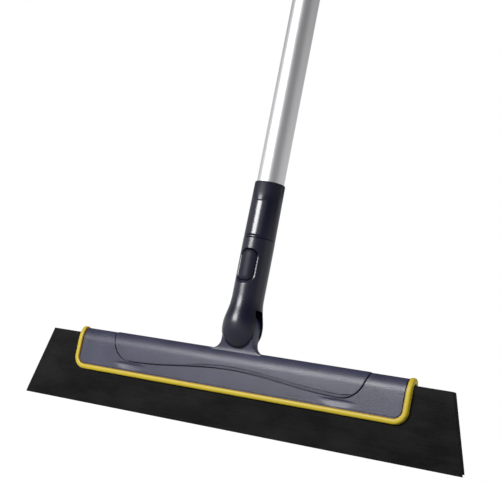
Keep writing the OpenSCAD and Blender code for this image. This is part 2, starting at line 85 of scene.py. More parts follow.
def line(bm, points):
    verts = [bm.verts.new(p) for p in points]
    return verts + [bm.edges.new(pair) for pair in zip(verts, verts[1:])]


def stack(bm, outlines):
    # outlines of equal point counts, each ring extruded from the one before; gives the end rings' edges
    verts = [bm.verts.new(p) for p in outlines[0]]
    first = edges = [bm.edges.new((verts[i - 1], verts[i])) for i in range(len(verts))]
    for points in outlines[1:]:
        made = bmesh.ops.extrude_edge_only(bm, edges=edges)["geom"]
        fresh = {v for v in made if isinstance(v, bmesh.types.BMVert)}
        edges = [e for e in made if isinstance(e, bmesh.types.BMEdge) and set(e.verts) <= fresh]
        verts = [next(e.other_vert(v) for e in v.link_edges if e.other_vert(v) in fresh) for v in verts]
        for v, p in zip(verts, points):
            v.co = p
    return first, edges


def fill(bm, edges, plain=False):
    made = bmesh.ops.triangle_fill(bm, use_beauty=True, use_dissolve=False, edges=edges,
                                   normal=(0, 0, 1))["geom"]
    if plain:  # as few faces as the outlines allow, so that strips cut from it later shade evenly
        kept = set(edges)
        sheet = [f for f in made if isinstance(f, bmesh.types.BMFace)]
        inside = dict.fromkeys(e for f in sheet for e in f.edges if e not in kept)  # keeps the order
        bmesh.ops.dissolve_limit(bm, angle_limit=0.01, use_dissolve_boundaries=False, verts=[],
                                 edges=list(inside), delimit=set())


def cutLines(bm, normal, places, faces=None):
    normal = Vector(normal)
    for place in places:
        picked = bm.faces[:] if faces is None else [f for f in bm.faces if faces(f.calc_center_median())]
        edges = dict.fromkeys(e for f in picked for e in f.edges)
        verts = dict.fromkeys(v for f in picked for v in f.verts)
        bmesh.ops.bisect_plane(bm, geom=[*verts, *edges, *picked], dist=1e-4,
                               plane_co=normal * place, plane_no=normal)


def spinRound(bm, profile, steps):
    geom = line(bm, [(0, r, z) for r, z in profile])  # the seam is at the back
    bmesh.ops.spin(bm, geom=geom, cent=(0, 0, 0), axis=(0, 0, 1), angle=2 * math.pi, steps=steps,
                   use_merge=True)


def bevelEdges(bm, edges, width, segments=2):
    bmesh.ops.bevel(bm, geom=edges, offset=width, offset_type="OFFSET", segments=segments, profile=0.5,
                    affect="EDGES", material=-1, clamp_overlap=False)


def sharpEdges(bm, degrees=40):
    return [e for e in bm.edges if len(e.link_faces) == 2 and e.calc_face_angle(0) > math.radians(degrees)]


def closeUp(bm, gap=1e-3):
    bmesh.ops.remove_doubles(bm, verts=bm.verts[:], dist=gap)
    bmesh.ops.dissolve_degenerate(bm, edges=bm.edges[:], dist=gap / 2)
    bmesh.ops.recalc_face_normals(bm, faces=bm.faces[:])


def arc(cx, cy, r, start, end, steps):
    turns = [math.radians(start + (end - start) * i / steps) for i in range(steps + 1)]
    return [(cx + r * math.cos(t), cy + r * math.sin(t)) for t in turns]


def roundRect(halfW, halfH, r, steps=12):
    points = []
    for sx, sy, start in ((1, 1, 0), (-1, 1, 90), (-1, -1, 180), (1, -1, 270)):
        corner = arc(sx * (halfW - r), sy * (halfH - r), r, start, start + 90, steps)
        meets = halfW - r < 1e-6 if start in (0, 180) else halfH - r < 1e-6  # round ends share a point
        points += corner[:-1] if meets else corner
    return points


def outward(points):
    p = np.array(points, dtype=float)
    ahead, behind = np.roll(p, -1, 0) - p, p - np.roll(p, 1, 0)
    ahead /= np.maximum(np.linalg.norm(ahead, axis=1), 1e-9)[:, None]
    behind /= np.maximum(np.linalg.norm(behind, axis=1), 1e-9)[:, None]
    along = ahead + behind
    along /= np.linalg.norm(along, axis=1)[:, None]
    return p, np.stack([along[:, 1], -along[:, 0]], 1)


def cutAway(bm, cutter):
    work = []
    for part in (bm, cutter):
        mesh = bpy.data.meshes.new("work")
        part.to_mesh(mesh)
        part.free()
        work.append(bpy.data.objects.new("work", mesh))
        scene.collection.objects.link(work[-1])
    cut = work[0].modifiers.new("cut", "BOOLEAN")
    cut.object, cut.operation, cut.solver = work[1], "DIFFERENCE", "EXACT"
    result = bmesh.new()
    result.from_object(work[0], bpy.context.evaluated_depsgraph_get())
    for obj in work:
        mesh = obj.data
        bpy.data.objects.remove(obj)
        bpy.data.meshes.remove(mesh)
    return result


def pin(place, axis, r, length, segments):
    # round cutter, turned from upright about an axis
    made = bmesh.new()
    spot = Matrix.Translation(place) @ Matrix.Rotation(math.pi / 2, 4, axis)
    bmesh.ops.create_cone(made, cap_ends=True, segments=segments, radius1=r, radius2=r, depth=length,
                          matrix=spot)
    return made


def addPiece(name, bm, body, materials, stands, smooth=30):
    bmesh.ops.scale(bm, vec=(0.001, 0.001, 0.001), verts=bm.verts[:])
    mesh = bpy.data.meshes.new(name)
    bm.to_mesh(mesh)
    bm.free()
    mesh.shade_smooth()
    mesh.set_sharp_from_angle(angle=math.radians(smooth))
    for material in materials:
        mesh.materials.append(material)
    obj = bpy.data.objects.new(name, mesh)
    scene.collection.objects.link(obj)
    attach(obj, body)
    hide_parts(*stands)
    print(name, len(mesh.vertices), "vertices")
    return obj


# node groups shared by the materials
noiseSet = {
    "skinCloud": 38.0, "skinFine": 0.8, "metalStreak": 2600.0, "metalCloud": 60.0,
    "streakStretch": (1, 1, 0.012), "cloudStretch": (1, 1, 0.2),
}


def newGroup(name, inputs, outputs):
    tree = bpy.data.node_groups.new(name, "ShaderNodeTree")
    for title, kind, value in inputs:
        socket = tree.interface.new_socket(title, in_out="INPUT", socket_type=kind)
        socket.default_value = value
    for title, kind in outputs:
        tree.interface.new_socket(title, in_out="OUTPUT", socket_type=kind)
    return tree, tree.nodes.new("NodeGroupInput"), tree.nodes.new("NodeGroupOutput")


def addNode(tree, kind, settings=None, **sockets):
    made = tree.nodes.new(kind)
    for key, value in (settings or {}).items():
        setattr(made, key, value)
    for key, value in sockets.items():
        socket = made.inputs[int(key[1:])] if key[0] == "i" and key[1:].isdigit() else made.inputs[key]
        if isinstance(value, bpy.types.NodeSocket):
            tree.links.new(value, socket)
        else:
            socket.default_value = value
    return made


def math2(tree, operation, a, b):
    return addNode(tree, "ShaderNodeMath", {"operation": operation}, i0=a, i1=b).outputs[0]


def stretched(tree, scale):
    where = tree.nodes.new("ShaderNodeTexCoord")
    return addNode(tree, "ShaderNodeMapping", Vector=where.outputs["Object"], Scale=scale).outputs[0]


def noiseAt(tree, vector, scale, detail=3.0):
    return addNode(tree, "ShaderNodeTexNoise", Vector=vector, Scale=scale, Detail=detail).outputs["Fac"]


def centred(tree, value, amount):
    return math2(tree, "MULTIPLY", math2(tree, "SUBTRACT", value, 0.5), amount)


def tinted(tree, colour, change):
    # lightens or darkens a colour by a small change
    level = math2(tree, "ADD", change, 1.0)
    return addNode(tree, "ShaderNodeVectorMath", {"operation": "SCALE"}, i0=colour, Scale=level).outputs[0]


def ranged(tree, value, start, end, first, last):
    # eases from the first level to the last one between two values
    spread = {"From Min": start, "From Max": end, "To Min": first, "To Max": last}
    made = addNode(tree, "ShaderNodeMapRange", {"interpolation_type": "SMOOTHSTEP"}, Value=value, **spread)
    return made.outputs["Result"]


def mouldedSkinGroup():
    tree, given, out = newGroup("mouldedSkin", [
        ("Colour", "NodeSocketColor", (0.1, 0.1, 0.1, 1)), ("Roughness", "NodeSocketFloat", 0.4),
        ("Grain", "NodeSocketFloat", 2500.0), ("Tone", "NodeSocketFloat", 0.1),
        ("Haze", "NodeSocketFloat", 0.1),
    ], [("Colour", "NodeSocketColor"), ("Roughness", "NodeSocketFloat"), ("Height", "NodeSocketFloat")])
    plain = stretched(tree, (1, 1, 1))
    grain = noiseAt(tree, plain, given.outputs["Grain"], 2.0)
    cloud = noiseAt(tree, plain, noiseSet["skinCloud"], 4.0)
    tone = centred(tree, cloud, given.outputs["Tone"])
    fine = centred(tree, grain, math2(tree, "MULTIPLY", given.outputs["Tone"], noiseSet["skinFine"]))
    change = math2(tree, "ADD", tone, fine)
    tree.links.new(tinted(tree, given.outputs["Colour"], change), out.inputs["Colour"])
    rough = math2(tree, "ADD", given.outputs["Roughness"], centred(tree, cloud, given.outputs["Haze"]))
    rough = math2(tree, "ADD", rough, centred(tree, grain, given.outputs["Haze"]))
    tree.links.new(rough, out.inputs["Roughness"])
    tree.links.new(grain, out.inputs["Height"])
    return tree


def drawnMetalGroup():
    tree, given, out = newGroup("drawnMetal", [
        ("Colour", "NodeSocketColor", (0.6, 0.6, 0.6, 1)), ("Roughness", "NodeSocketFloat", 0.3),
        ("Tone", "NodeSocketFloat", 0.06), ("Haze", "NodeSocketFloat", 0.12),
    ], [("Colour", "NodeSocketColor"), ("Roughness", "NodeSocketFloat"), ("Height", "NodeSocketFloat")])
    streak = noiseAt(tree, stretched(tree, noiseSet["streakStretch"]), noiseSet["metalStreak"])
    cloud = noiseAt(tree, stretched(tree, noiseSet["cloudStretch"]), noiseSet["metalCloud"])
    tree.links.new(tinted(tree, given.outputs["Colour"], centred(tree, streak, given.outputs["Tone"])),
                   out.inputs["Colour"])
    rough = math2(tree, "ADD", given.outputs["Roughness"], centred(tree, streak, given.outputs["Haze"]))
    rough = math2(tree, "ADD", rough, centred(tree, cloud, given.outputs["Haze"]))
    tree.links.new(rough, out.inputs["Roughness"])
    tree.links.new(streak, out.inputs["Height"])
    return tree


mouldedSkin = mouldedSkinGroup()
drawnMetal = drawnMetalGroup()


def newMaterial(name):
    material = bpy.data.materials.new(name)
    material.use_nodes = True
    tree = material.node_tree
    return material, tree, tree.nodes["Principled BSDF"]


def bumped(tree, shader, height, strength, distance):
    bump = addNode(tree, "ShaderNodeBump", Height=height, Strength=strength, Distance=distance)
    tree.links.new(bump.outputs["Normal"], shader.inputs["Normal"])


def plasticFinish(name, look):
    material, tree, shader = newMaterial(name)
    skin = addNode(tree, "ShaderNodeGroup", {"node_tree": mouldedSkin}, Colour=(*look["colour"], 1),
                   Roughness=look["roughness"], Grain=look["grain"], Tone=look["tone"], Haze=look["haze"])
    tree.links.new(skin.outputs["Colour"], shader.inputs["Base Color"])
    tree.links.new(skin.outputs["Roughness"], shader.inputs["Roughness"])
    shader.inputs["Specular IOR Level"].default_value = look["specular"]
    if "coat" in look:
        weight, rough = look["coat"]
        shader.inputs["Coat Weight"].default_value = weight
        shader.inputs["Coat Roughness"].default_value = rough
    if "duller" in look:  # rougher above a height
        low, high, rough = look["duller"]
        where = addNode(tree, "ShaderNodeSeparateXYZ",
                        Vector=tree.nodes.new("ShaderNodeTexCoord").outputs["Object"])
        level = ranged(tree, where.outputs["Z"], low, high, look["roughness"], rough)
        tree.links.new(level, skin.inputs["Roughness"])
    bumped(tree, shader, skin.outputs["Height"], look["bump"], look["depth"])
    return material


def metalFinish(name, look):
    material, tree, shader = newMaterial(name)
    metal = addNode(tree, "ShaderNodeGroup", {"node_tree": drawnMetal}, Colour=(*look["colour"], 1),
                    Roughness=look["roughness"], Tone=look["tone"], Haze=look["haze"])
    tree.links.new(metal.outputs["Colour"], shader.inputs["Base Color"])
    tree.links.new(metal.outputs["Roughness"], shader.inputs["Roughness"])
    shader.inputs["Metallic"].default_value = 1.0
    bumped(tree, shader, metal.outputs["Height"], look["bump"], look["depth"])
    return material


headNavy = plasticFinish("headNavy", {
    "colour": (0.046, 0.048, 0.089), "roughness": 0.34, "grain": 1000.0, "tone": 0.85, "haze": 0.16,
    "specular": 0.44, "bump": 0.52, "depth": 0.0002})
rimYellow = plasticFinish("rimYellow", {
    "colour": (0.71, 0.545, 0.032), "roughness": 0.40, "grain": 2200.0, "tone": 0.06, "haze": 0.10,
    "specular": 0.4, "bump": 0.12, "depth": 0.0001})
# painted shade: a darker amber for the bead's inner side, where shade falls in the gap beside the head
rimPaintedShade = plasticFinish("rimPaintedShade", {
    "colour": (0.56, 0.30, 0.012), "roughness": 0.45, "grain": 2200.0, "tone": 0.10, "haze": 0.10,
    "specular": 0.3, "bump": 0.12, "depth": 0.0001})
neckNavy = plasticFinish("neckNavy", {
    "colour": (0.0066, 0.0078, 0.0250), "roughness": 0.27, "grain": 3000.0, "tone": 0.15, "haze": 0.03,
    "specular": 0.60, "bump": 0.015, "depth": 0.0001})
sleeveSatin = plasticFinish("sleeveSatin", {
    "colour": (0.0066, 0.0078, 0.0250), "roughness": 0.27, "grain": 3000.0, "tone": 0.15, "haze": 0.03,
    "specular": 0.48, "bump": 0.015, "depth": 0.0001, "duller": (0.204, 0.211, 0.52)})
sleeveGloss = plasticFinish("sleeveGloss", {
    "colour": (0.0066, 0.0078, 0.0240), "roughness": 0.23, "grain": 3000.0, "tone": 0.12, "haze": 0.015,
    "specular": 0.50, "coat": (0.40, 0.12), "bump": 0.0, "depth": 0.0001})
buttonNavy = plasticFinish("buttonNavy", {
    "colour": (0.013, 0.015, 0.030), "roughness": 0.46, "grain": 2600.0, "tone": 0.14, "haze": 0.08,
    "specular": 0.24, "bump": 0.12, "depth": 0.0001})
gripNavy = plasticFinish("gripNavy", {
    "colour": (0.034, 0.034, 0.052), "roughness": 0.36, "grain": 2400.0, "tone": 0.14, "haze": 0.10,
    "specular": 0.45, "bump": 0.12, "depth": 0.0001})
insertNavy = plasticFinish("insertNavy", {
    "colour": (0.10, 0.10, 0.12), "roughness": 0.45, "grain": 2400.0, "tone": 0.12, "haze": 0.10,
    "specular": 0.4, "bump": 0.12, "depth": 0.0001})
loopYellow = plasticFinish("loopYellow", {
    "colour": (0.82, 0.56, 0.02), "roughness": 0.33, "grain": 2200.0, "tone": 0.06, "haze": 0.08,
    "specular": 0.45, "bump": 0.06, "depth": 0.0001})
naturalNylon = plasticFinish("naturalNylon", {
    "colour": (0.70, 0.68, 0.60), "roughness": 0.42, "grain": 2600.0, "tone": 0.06, "haze": 0.10,
    "specular": 0.45, "bump": 0.1, "depth": 0.0001})
poleSilver = metalFinish("poleSilver", {
    "colour": (0.93, 0.93, 0.95), "roughness": 0.40, "tone": 0.05, "haze": 0.06,
    "bump": 0.06, "depth": 0.00005})
screwSteel = metalFinish("screwSteel", {
    "colour": (0.50, 0.50, 0.52), "roughness": 0.34, "tone": 0.10, "haze": 0.14,
    "bump": 0.12, "depth": 0.0001})
blackSteel = metalFinish("blackSteel", {
    "colour": (0.10, 0.10, 0.115), "roughness": 0.42, "tone": 0.10, "haze": 0.14,
    "bump": 0.12, "depth": 0.0001})
turnedBrass = metalFinish("turnedBrass", {
    "colour": (0.60, 0.42, 0.16), "roughness": 0.30, "tone": 0.08, "haze": 0.12,
    "bump": 0.1, "depth": 0.0001})


def foamFinish(name, look):
    material, tree, shader = newMaterial(name)
    cells = addNode(tree, "ShaderNodeTexVoronoi", Vector=stretched(tree, (1, 1, 1)), Scale=look["cells"])
    streak = noiseAt(tree, stretched(tree, look["streakStretch"]), look["streaks"], 4.0)
    cloud = noiseAt(tree, stretched(tree, look["cloudStretch"]), look["clouds"], 4.0)
    change = math2(tree, "ADD", centred(tree, streak, look["streakTone"]),
                   centred(tree, cloud, look["cloudTone"]))
    change = math2(tree, "ADD", change, centred(tree, cells.outputs["Distance"], look["cellTone"]))
    colour = addNode(tree, "ShaderNodeMix", {"data_type": "RGBA"}, Factor=math2(tree, "ADD", change, 0.5))
    colour.inputs["A"].default_value = (*look["dark"], 1)
    colour.inputs["B"].default_value = (*look["pale"], 1)
    tree.links.new(colour.outputs["Result"], shader.inputs["Base Color"])
    rough = math2(tree, "ADD", centred(tree, cloud, look["haze"]), look["roughness"])
    tree.links.new(rough, shader.inputs["Roughness"])
    shader.inputs["Specular IOR Level"].default_value = look["specular"]
    height = math2(tree, "ADD", cells.outputs["Distance"], math2(tree, "MULTIPLY", streak, look["streakUp"]))
    bumped(tree, shader, height, look["bump"], look["depth"])
    return material


bladeFoam = foamFinish("bladeFoam", {
    "dark": (0.0030, 0.0030, 0.0033), "pale": (0.0170, 0.0170, 0.0178), "cells": 1300.0, "streaks": 620.0,
    "clouds": 60.0, "streakTone": 0.8, "cloudTone": 2.4, "cellTone": 0.5, "streakUp": 0.8, "roughness": 0.80,
    "streakStretch": (0.05, 1, 1), "cloudStretch": (0.45, 1, 1), "haze": 0.16, "specular": 0.15,
    "bump": 0.5, "depth": 0.0003})
print("materials made:", len(bpy.data.materials))

# foam blade: wider at the floor, a slit in its edge leaves a thin front lip and a shorter back lip
bladeSet = {
    "lowHalf": 225.0, "topHalf": 206.0, "height": 64.0, "half": 3.2, "frontLip": 1.8, "slit": 1.2,
    "slitUp": 6.0, "lipStep": 2.0, "edge": 0.35, "cuts": range(-216, 217, 12),
}


def makeBlade():
    b = bladeSet
    slitFront, slitBack = b["frontLip"] - b["half"], b["frontLip"] + b["slit"] - b["half"]
    section = [(-b["half"], b["height"]), (-b["half"], 0), (slitFront, 0), (slitFront, b["slitUp"]),
               (slitBack, b["slitUp"]), (slitBack, b["lipStep"]), (b["half"], b["lipStep"]),
               (b["half"], b["height"])]
    bm = bmesh.new()
    bmesh.ops.contextual_create(bm, geom=ring(bm, [(-1, y, z) for y, z in section]))
    moved = bmesh.ops.extrude_face_region(bm, geom=bm.faces[:])["geom"]
    bmesh.ops.translate(bm, vec=(2, 0, 0), verts=[v for v in moved if isinstance(v, bmesh.types.BMVert)])
    for v in bm.verts:
        v.co.x *= b["lowHalf"] + (b["topHalf"] - b["lowHalf"]) * v.co.z / b["height"]
    closeUp(bm)
    bevelEdges(bm, sharpEdges(bm), b["edge"], 2)
    cutLines(bm, (1, 0, 0), b["cuts"])
    obj = addPiece("foamBlade", bm, "head", [bladeFoam], ["blade"])


makeBlade()

# the head is drawn flat, as along the blade, down the front or back from the ridge, and height; then it is
# laid over the saddle's section: a flat ridge, a tight roll, a fuller front and a straight lower part
saddle = {"top": 69.0, "half": 6.1, "rollR": 4.0, "faceR": 22.0, "turn": math.radians(27)}
saddle["flat"] = (saddle["half"] - saddle["rollR"] * math.cos(saddle["turn"])
                  - saddle["faceR"] * (1 - math.cos(saddle["turn"])))
saddle["rollRun"] = saddle["flat"] + saddle["rollR"] * (math.pi / 2 - saddle["turn"])
saddle["faceRun"] = saddle["rollRun"] + saddle["faceR"] * saddle["turn"]
saddle["faceZ"] = (saddle["top"] - saddle["rollR"] * (1 - math.sin(saddle["turn"]))
                   - saddle["faceR"] * math.sin(saddle["turn"]))


def sectionAt(run):
    # depth, height and lean of the outward direction at a distance from the ridge
    if run <= saddle["flat"]:
        return run, saddle["top"], math.pi / 2
    if run <= saddle["rollRun"]:
        lean = math.pi / 2 - (run - saddle["flat"]) / saddle["rollR"]
        return (saddle["flat"] + saddle["rollR"] * math.cos(lean),
                saddle["top"] - saddle["rollR"] * (1 - math.sin(lean)), lean)
    if run <= saddle["faceRun"]:
        lean = saddle["turn"] - (run - saddle["rollRun"]) / saddle["faceR"]
        return (saddle["half"] - saddle["faceR"] * (1 - math.cos(lean)),
                saddle["faceZ"] + saddle["faceR"] * math.sin(lean), lean)
    return saddle["half"], saddle["faceZ"] - (run - saddle["faceRun"]), 0.0


def runAt(z):
    return saddle["faceRun"] + saddle["faceZ"] - z


def layOnSaddle(bm):
    for v in bm.verts:
        x, s, h = v.co
        depth, z, lean = sectionAt(abs(s))
        side = -1 if s >= 0 else 1
        v.co = (x, side * (depth + h * math.cos(lean)), z + h * math.sin(lean))


def sectionLines():
    rolls = [saddle["flat"] + (saddle["rollRun"] - saddle["flat"]) * i / 8 for i in range(9)]
    fronts = [saddle["rollRun"] + (saddle["faceRun"] - saddle["rollRun"]) * i / 6 for i in range(1, 7)]
    return [side * run for run in rolls + fronts for side in (-1, 1)]


# raised panel on the saddle: round lower corners, an arched lower edge with a chamfer, and a crease all round
headSet = {
    "endX": 168.6, "lowZ": 33.9, "cornerR": 8.6, "channel": 3.3, "roofZ": 64.2,
    "panelTopX": 132.0, "panelLowX": 124.0, "panelLowZ": 44.5, "panelArch": 7.5, "panelR": 21.0,
    "panelUp": 0.5, "panelEase": 6.0, "lowLean": 0.80, "lowBlend": 0.17, "chamfer": 1.5, "sideChamfer": 0.25,
    "chamferDrop": 0.04, "sideRise": 0.8, "lineWide": 1.15, "lineDeep": 1.7, "lineLeast": 0.2,
    "lineWall": 0.08, "lineFull": 10.0, "lineStart": -88.0,
    "crease": 1.1, "creaseDeep": 2.4, "creaseWall": 0.08,
    "scoopX": 108.0, "scoopZ": 41.4, "scoopWide": 19.0, "scoopUp": 1.9, "scoopDown": 5.8, "scoopDeep": 0.72,
    "scoopNear": 76.0, "scoopFar": 140.0, "scoopBand": 14.0, "scoopStepX": 2.0, "scoopStep": 0.6,
    "gapIn": 2.2, "gapDeep": 0.8, "gapWall": 0.25,
    "screwXs": (-135, -45, 45, 135), "screwZ": 40.5, "screwR": 3.05, "screwDeep": 1.48, "screwEdge": 0.15,
}
tongueSet = {
    "hingeZ": 87.8, "r": 16.0, "fillet": 10.0, "half": 5.5, "footHalf": 3.7, "taperTop": 81.0, "sink": 64.6,
    "edge": 0.7, "bore": 5.1, "boreDeep": 30.0, "cutStep": 1.25, "cuts": 12,
}


def panelOutline():
    p = headSet
    slope = (p["panelTopX"] - p["panelLowX"]) / (saddle["top"] - p["panelLowZ"])
    turn = 90 - math.degrees(math.atan(slope))
    flatX = p["panelLowX"] - p["panelR"] * math.tan(math.radians(turn / 2))
    low = [(flatX * i / 40, p["panelLowZ"] + p["panelArch"] * (1 + math.cos(math.pi * i / 40)) / 2)
           for i in range(41)]
    corner = arc(flatX, p["panelLowZ"] + p["panelR"], p["panelR"], -90, -90 + turn, 20)[1:]
    front = [(x, runAt(z)) for x, z in low + corner]
    start = front[-1][1]
    for i in range(1, 15):
        run = start * (1 - i / 14)
        front.append((p["panelTopX"] - (saddle["top"] - sectionAt(run)[1]) * slope, run))
    right = front + [(x, -s) for x, s in front[-2::-1]]
    return right + [(-x, s) for x, s in right[-2:0:-1]]


def scoopAt(x, s):
    p = headSet
    across = (abs(x) - p["scoopX"]) / p["scoopWide"]
    up = runAt(p["scoopZ"]) - abs(s)
    up /= p["scoopUp"] if up > 0 else p["scoopDown"]  # short above, a long slope below
    reach = across * across + up * up
    return -p["scoopDeep"] * (1 - reach) ** 2 if reach < 1 else 0.0


def makeHead():
    p, t = headSet, tongueSet
    bm = bmesh.new()
    halfRun = runAt(p["lowZ"])
    # fine gap beside the bead
    rim = [(0, -p["gapDeep"]), (p["gapIn"], -p["gapDeep"]), (p["gapIn"] + p["gapWall"], 0)]
    edge = stack(bm, [[(x, s, h) for x, s in roundRect(p["endX"] - g, halfRun - g, p["cornerR"] - g, 10)]
                      for g, h in rim])[1]
    points, normal = outward(panelOutline())
    normal *= np.sign(np.sum(normal * points, axis=1).mean())
    near = np.clip((points[:, 0] - p["lineStart"]) / (p["lineFull"] - p["lineStart"]), 0, 1)
    lowness = np.clip((np.abs(normal[:, 1]) - p["lowLean"]) / p["lowBlend"], 0, 1)
    lowness *= near * near * (3 - 2 * near)
    chamfer = p["sideChamfer"] + (p["chamfer"] - p["sideChamfer"]) * lowness * lowness * (3 - 2 * lowness)
    rise = np.clip(np.abs(points[:, 1]) / p["panelEase"], 0, 1) * p["panelUp"]
    crease, wall, none = p["crease"], p["creaseWall"], np.zeros_like(rise)
    deep = none - p["creaseDeep"]
    # the second line fades out at the left
    wide, cut = p["lineWide"] * (p["lineLeast"] + (1 - p["lineLeast"]) * lowness), p["lineDeep"] * lowness
    steps = [(-chamfer - wide, rise), (-chamfer - (1 - p["lineWall"]) * wide, rise - cut),
             (-chamfer - p["lineWall"] * wide, rise - cut), (-chamfer, rise - p["chamferDrop"]),
             (none, p["sideRise"] * rise), (none + wall, deep), (none + crease - wall, deep),
             (none + crease, none)]
    outlines = []
    for out, height in steps:
        where = points + normal * out[:, None]
        outlines.append([(x, s, h) for (x, s), h in zip(where, height)])
    inner, outer = stack(bm, outlines)
    fill(bm, inner)
    for x in p["screwXs"]:  # sunk seats of the screws at the back
        seat = [(p["screwR"] + p["screwEdge"], 0), (p["screwR"], -p["screwEdge"]),
                (p["screwR"], -p["screwDeep"])]
        rim, floor = stack(bm, [[(x + u, v - runAt(p["screwZ"]), h) for u, v in arc(0, 0, r, 0, 360, 32)[:-1]]
                                for r, h in seat])
        fill(bm, floor)
        outer = outer + rim
    fill(bm, edge + outer)
    cutLines(bm, (0, 1, 0), sectionLines() + [0])
    low, near, far = halfRun - p["scoopBand"], p["scoopNear"], p["scoopFar"]
    cutLines(bm, (0, 1, 0), [-low, low])
    cutLines(bm, (1, 0, 0), [-far, -near, near, far])

    def scoopZone(spot):
        return abs(spot.y) > low and near < abs(spot.x) < far

    down = [low + p["scoopStep"] * i for i in range(1, int(p["scoopBand"] / p["scoopStep"]))]
    along = [near + p["scoopStepX"] * i for i in range(1, int((far - near) / p["scoopStepX"]))]
    cutLines(bm, (0, 1, 0), [side * place for place in down for side in (-1, 1)], scoopZone)
    cutLines(bm, (1, 0, 0), [side * place for place in along for side in (-1, 1)], scoopZone)
    for v in bm.verts:
        v.co.z += scoopAt(v.co.x, v.co.y)
    layOnSaddle(bm)
    closeUp(bm)
    rimEdges = [e for e in bm.edges if e.is_boundary]
    # the shell's lower wall, the channel's sides and its roof
    for move in (lambda c: (c.x, max(-p["channel"], min(p["channel"], c.y)), c.z),
                 lambda c: (c.x, c.y, max(c.z, p["roofZ"])), lambda c: (c.x, 0, c.z)):
        made = bmesh.ops.extrude_edge_only(bm, edges=rimEdges)["geom"]
        rimEdges = [e for e in made if isinstance(e, bmesh.types.BMEdge)]
        for v in {v for e in rimEdges for v in e.verts}:
            v.co = move(v.co)
    closeUp(bm)

    # tongue of the hinge, narrower in depth at its foot on the ridge
    plate = bmesh.new()
    foot, turnZ = t["r"] + t["fillet"], saddle["top"] + t["fillet"]
    right = [(foot, t["sink"])] + arc(foot, turnZ, t["fillet"], -90, -180, 14)
    right += arc(0, t["hingeZ"], t["r"], 0, 90, 20)
    outline = right + [(-x, z) for x, z in right[-2::-1]]
    bmesh.ops.contextual_create(plate, geom=ring(plate, [(x, -t["half"], z) for x, z in outline]))
    moved = bmesh.ops.extrude_face_region(plate, geom=plate.faces[:])["geom"]
    bmesh.ops.translate(plate, vec=(0, 2 * t["half"], 0),
                        verts=[v for v in moved if isinstance(v, bmesh.types.BMVert)])
    closeUp(plate)
    bevelEdges(plate, sharpEdges(plate, 60), t["edge"], 3)
    cutLines(plate, (0, 0, 1), [saddle["top"] + t["cutStep"] * i for i in range(t["cuts"])])
    for v in plate.verts:
        low = min(1, max(0, (t["taperTop"] - v.co.z) / (t["taperTop"] - saddle["top"])))
        v.co.y *= 1 - (1 - t["footHalf"] / t["half"]) * low * low * (3 - 2 * low)
    plate = cutAway(plate, pin((0, 0, t["hingeZ"]), "X", t["bore"], t["boreDeep"], 48))
    mesh = bpy.data.meshes.new("work")
    plate.to_mesh(mesh)
    plate.free()
    bm.from_mesh(mesh)
    bpy.data.meshes.remove(mesh)
    addPiece("saddleHead", bm, "head", [headNavy], ["head_shell"], smooth=16)


makeHead()

# yellow bead round the saddle, over both ends and along the back
beadSet = {
    "halfX": 172.0, "lowZ": 30.5, "cornerR": 12.0, "half": 2.3, "deep": -2.7, "ridgeDeep": -3.8,
    "profile": [(-1.0, -1.2), (-1.0, 0.2), (-0.92, 0.65), (-0.72, 0.95), (-0.4, 1.14), (0.0, 1.2),
                (0.42, 1.1), (0.75, 0.78), (0.94, 0.25), (1.0, -0.6)],
    # inset past which the bead's inner side takes the painted shade
    "shadeInset": 1.7, "ridgeEase": 1.5,
}


def beadInset(x, s, halfRun):
    # how far inside the bead's outer outline
    b = beadSet
    across, down = abs(x) - b["halfX"] + b["cornerR"], abs(s) - halfRun + b["cornerR"]
    return b["cornerR"] - math.hypot(max(across, 0), max(down, 0)) - min(max(across, down), 0)


def makeBead():
    b = beadSet
    bm = bmesh.new()
    halfRun = runAt(b["lowZ"])
    outlines = []
    for across, up in b["profile"] + [(1.0, b["deep"]), (-1.0, b["deep"]), b["profile"][0]]:
        inset = b["half"] * (1 - across)
        points = roundRect(b["halfX"] - inset, halfRun - inset, b["cornerR"] - inset, 14)
        outlines.append([(x, s, up) for x, s in points])
    stack(bm, outlines)
    for f in bm.faces:  # painted shade: the bead's side that meets the head is a darker amber, standing in for the shade in the gap
        x, s, up = f.calc_center_median()
        f.material_index = int(beadInset(x, s, halfRun) > b["shadeInset"] * b["half"] and up > b["deep"])
    cutLines(bm, (0, 1, 0), sectionLines() + [0])
    for v in bm.verts:  # the arch over each end reaches down to the blade's channel
        if v.co.z < b["deep"] + 0.01:
            near = min(1, max(0, (saddle["rollRun"] - abs(v.co.y)) / b["ridgeEase"]))
            v.co.z = b["deep"] + (b["ridgeDeep"] - b["deep"]) * near
    layOnSaddle(bm)
    closeUp(bm)
    addPiece("edgeBead", bm, "head", [rimYellow, rimPaintedShade], ["edge_trim"], smooth=35)


makeBead()

# neck: round forked end, hollow curve up to the straight part, button window, and a socket for the sleeve
neckSet = {
    "hingeZ": 87.8, "r": 14.2, "bulbR": 18.0, "blend": 30.0,
    "swell": [(2, 18.0), (4, 17.94), (6, 17.74), (8, 17.42), (10, 17.0), (12, 16.54), (14, 16.08),
              (16, 15.64), (18, 15.24), (20, 14.9), (22, 14.63), (24, 14.43), (26, 14.3), (28, 14.22),
              (30, 14.2)],
    "seamZ": 169.0, "bevel": 0.5, "socketR": 11.0, "floorZ": 123.9, "slotHalf": 6.0, "slotTop": 18.4,
    "slotLow": 30.0, "slotLong": 60.0, "windowHalfW": 8.0, "windowHalfH": 14.3, "windowR": 6.1,
    "buttonZ": 144.2, "rim": 1.5, "sideRim": 0.8, "rimDrop": 0.9, "rimDeep": 0.85, "rimEdge": (0.12, 0.05),
    "hold": 0.5, "capR": 5.55, "capY": 15.54, "capLong": 20.0,
    "thin": 0.17, "thinFrom": 103.8, "thinTo": 69.8, "steps": 96,
}


def onRound(points, radius, height, upZ):
    # front-view points on a flat sheet that is wrapped later; height is measured from the radius
    return [(radius * math.asin(max(-1, min(1, x / (radius + height)))), upZ + z, height) for x, z in points]


